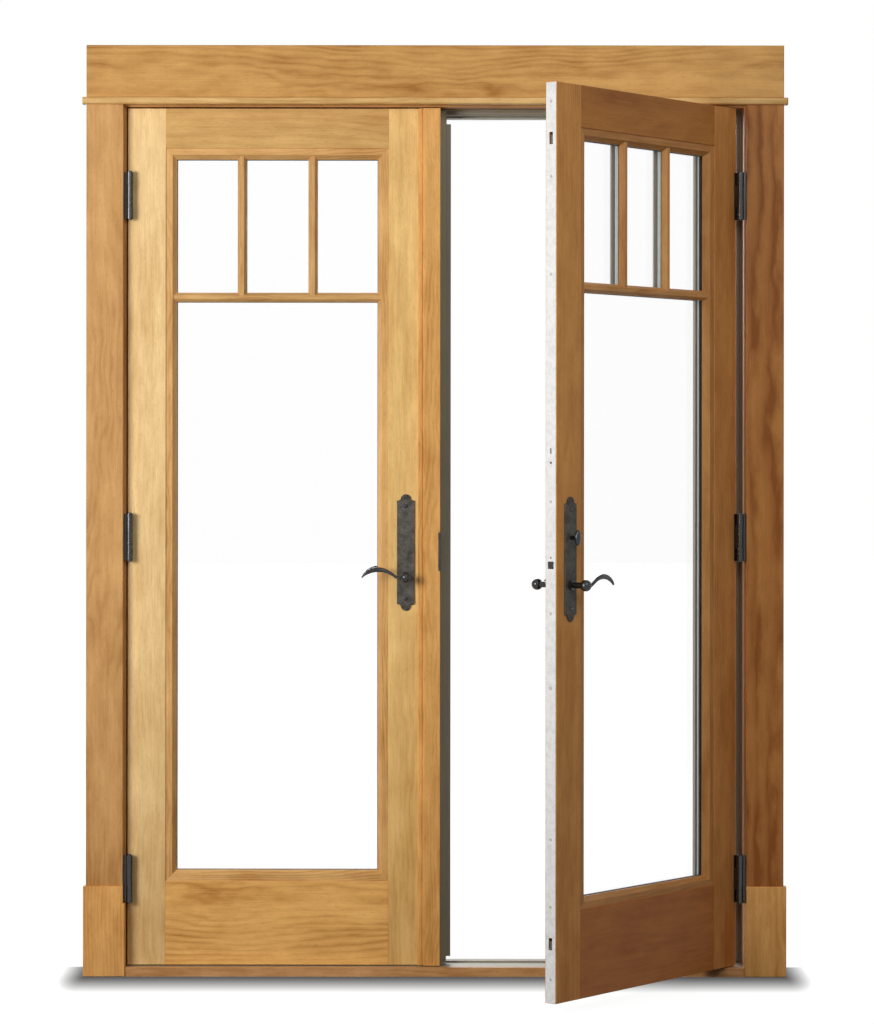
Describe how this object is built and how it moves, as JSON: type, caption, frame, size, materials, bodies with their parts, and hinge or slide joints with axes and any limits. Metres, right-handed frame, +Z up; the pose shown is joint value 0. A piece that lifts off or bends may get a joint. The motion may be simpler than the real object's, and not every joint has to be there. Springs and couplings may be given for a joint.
{
  "type": "french doors",
  "caption": "Inswing hinged double glazed door pair in its cased wood frame, one leaf closed and one open, with wave levers and a multipoint lock edge.",
  "frame": {"origin": "middle of the doorway on the underside of the threshold, in the plane of the wall face behind the casing", "axes": "+Z up, +Y out of the room towards the outside, +X to the right seen from the room"},
  "size_m": [1.618, 0.6622, 2.136],
  "materials": {
    "casing_wood": "clear satin varnish",
    "jamb_wood": "clear satin varnish",
    "stile_wood": "clear satin varnish",
    "rail_wood": "clear satin varnish",
    "bead_wood": "clear satin varnish",
    "olive_frame": "satin paint",
    "olive_cladding": "satin paint",
    "glass": "clear",
    "spacer_metal": "satin",
    "dark_bronze": "textured dark bronze",
    "lock_metal": "satin plated",
    "seal_rubber": "matt"
  },
  "bodies": {
    "frame": {"head_casing": "casing_wood", "head_fillet": "casing_wood", "left_side_casing": "casing_wood", "right_side_casing": "casing_wood", "plinth_blocks": "casing_wood", "head_jamb": "jamb_wood", "left_side_jamb": "jamb_wood", "right_side_jamb": "jamb_wood", "threshold": "jamb_wood", "bolt_keepers": "lock_metal", "exterior_head": "olive_frame", "exterior_jambs": "olive_frame", "exterior_sill": "olive_frame", "frame_weatherstrip": "seal_rubber", "hinge_jamb_leaves": "dark_bronze", "hinge_pins": "dark_bronze"},
    "passive_panel": {"left_hinge_stile": "stile_wood", "left_lock_stile": "stile_wood", "left_top_rail": "rail_wood", "left_bottom_rail": "rail_wood", "left_cladding": "olive_cladding", "left_glass_panes": "glass", "left_glass_spacer": "spacer_metal", "left_glazing_beads": "bead_wood", "left_inside_muntins": "bead_wood", "left_outside_muntins": "olive_cladding", "left_door_leaves": "dark_bronze", "left_inside_plate": "dark_bronze", "left_outside_plate": "dark_bronze", "left_screws": "dark_bronze", "astragal": "jamb_wood", "exterior_astragal": "olive_frame", "strike_plates": "dark_bronze"},
    "passive_lever": {"left_inside_lever": "dark_bronze", "left_outside_lever": "dark_bronze"},
    "head_bolt": {"left_head_bolt": "lock_metal"},
    "foot_bolt": {"left_foot_bolt": "lock_metal"},
    "active_panel": {"right_hinge_stile": "stile_wood", "right_lock_stile": "stile_wood", "right_top_rail": "rail_wood", "right_bottom_rail": "rail_wood", "right_cladding": "olive_cladding", "right_glass_panes": "glass", "right_glass_spacer": "spacer_metal", "right_glazing_beads": "bead_wood", "right_inside_muntins": "bead_wood", "right_outside_muntins": "olive_cladding", "right_door_leaves": "dark_bronze", "right_inside_plate": "dark_bronze", "right_outside_plate": "dark_bronze", "right_screws": "dark_bronze", "right_key_cylinder": "dark_bronze", "lock_edge_strip": "lock_metal", "lock_case": "lock_metal"},
    "active_lever": {"right_inside_lever": "dark_bronze", "right_outside_lever": "dark_bronze"},
    "latch": {"latch_bolt": "dark_bronze"},
    "hooks": {"hook_bolts": "lock_metal"},
    "thumb_turn": {"thumb_turn": "dark_bronze"}
  },
  "joints": [
    {"name": "active_swing", "type": "hinge", "parent": "frame", "child": "active_panel", "pos_m": [0.701, -0.01, 1], "axis": [0, 0, 1], "range_deg": [-51, 99]},
    {"name": "passive_swing", "type": "hinge", "parent": "frame", "child": "passive_panel", "pos_m": [-0.701, -0.01, 1], "axis": [0, 0, -1], "range_deg": [0, 150]},
    {"name": "active_lever_turn", "type": "hinge", "parent": "active_panel", "child": "active_lever", "pos_m": [0.27248, -0.4788, 0.916], "axis": [0.7771, -0.6293, 0], "range_deg": [-20, 45], "stiffness_Nm_per_rad": 4, "springref_deg": 1.15},
    {"name": "latch_throw", "type": "slide", "parent": "active_panel", "child": "latch", "axis": [-0.6293, -0.7771, 0], "range_m": [-0.0056, 0.0122]},
    {"name": "hook_throw", "type": "slide", "parent": "active_panel", "child": "hooks", "axis": [-0.6293, -0.7771, 0], "range_m": [-0.0092, 0.0202]},
    {"name": "thumb_turn_turn", "type": "hinge", "parent": "active_panel", "child": "thumb_turn", "pos_m": [0.29424, -0.49642, 1.018], "axis": [0.7771, -0.6293, 0], "range_deg": [0, 90]},
    {"name": "passive_lever_turn", "type": "hinge", "parent": "passive_panel", "child": "passive_lever", "pos_m": [-0.067, 0.028, 0.916], "axis": [0, 1, 0], "range_deg": [0, 45], "stiffness_Nm_per_rad": 4, "springref_deg": 1.15},
    {"name": "head_bolt_throw", "type": "slide", "parent": "passive_panel", "child": "head_bolt", "axis": [0, 0, 1], "range_m": [0, 0.0152]},
    {"name": "foot_bolt_throw", "type": "slide", "parent": "passive_panel", "child": "foot_bolt", "axis": [0, 0, -1], "range_m": [0, 0.0152]}
  ],
  "couplings": [
    {"joint": "latch_throw", "follows": "active_lever_turn", "m_per_rad": 0.015279},
    {"joint": "hook_throw", "follows": "active_lever_turn", "m_per_rad": 0.025465},
    {"joint": "head_bolt_throw", "follows": "passive_lever_turn", "m_per_rad": 0.019099},
    {"joint": "foot_bolt_throw", "follows": "passive_lever_turn", "m_per_rad": 0.019099}
  ]
}
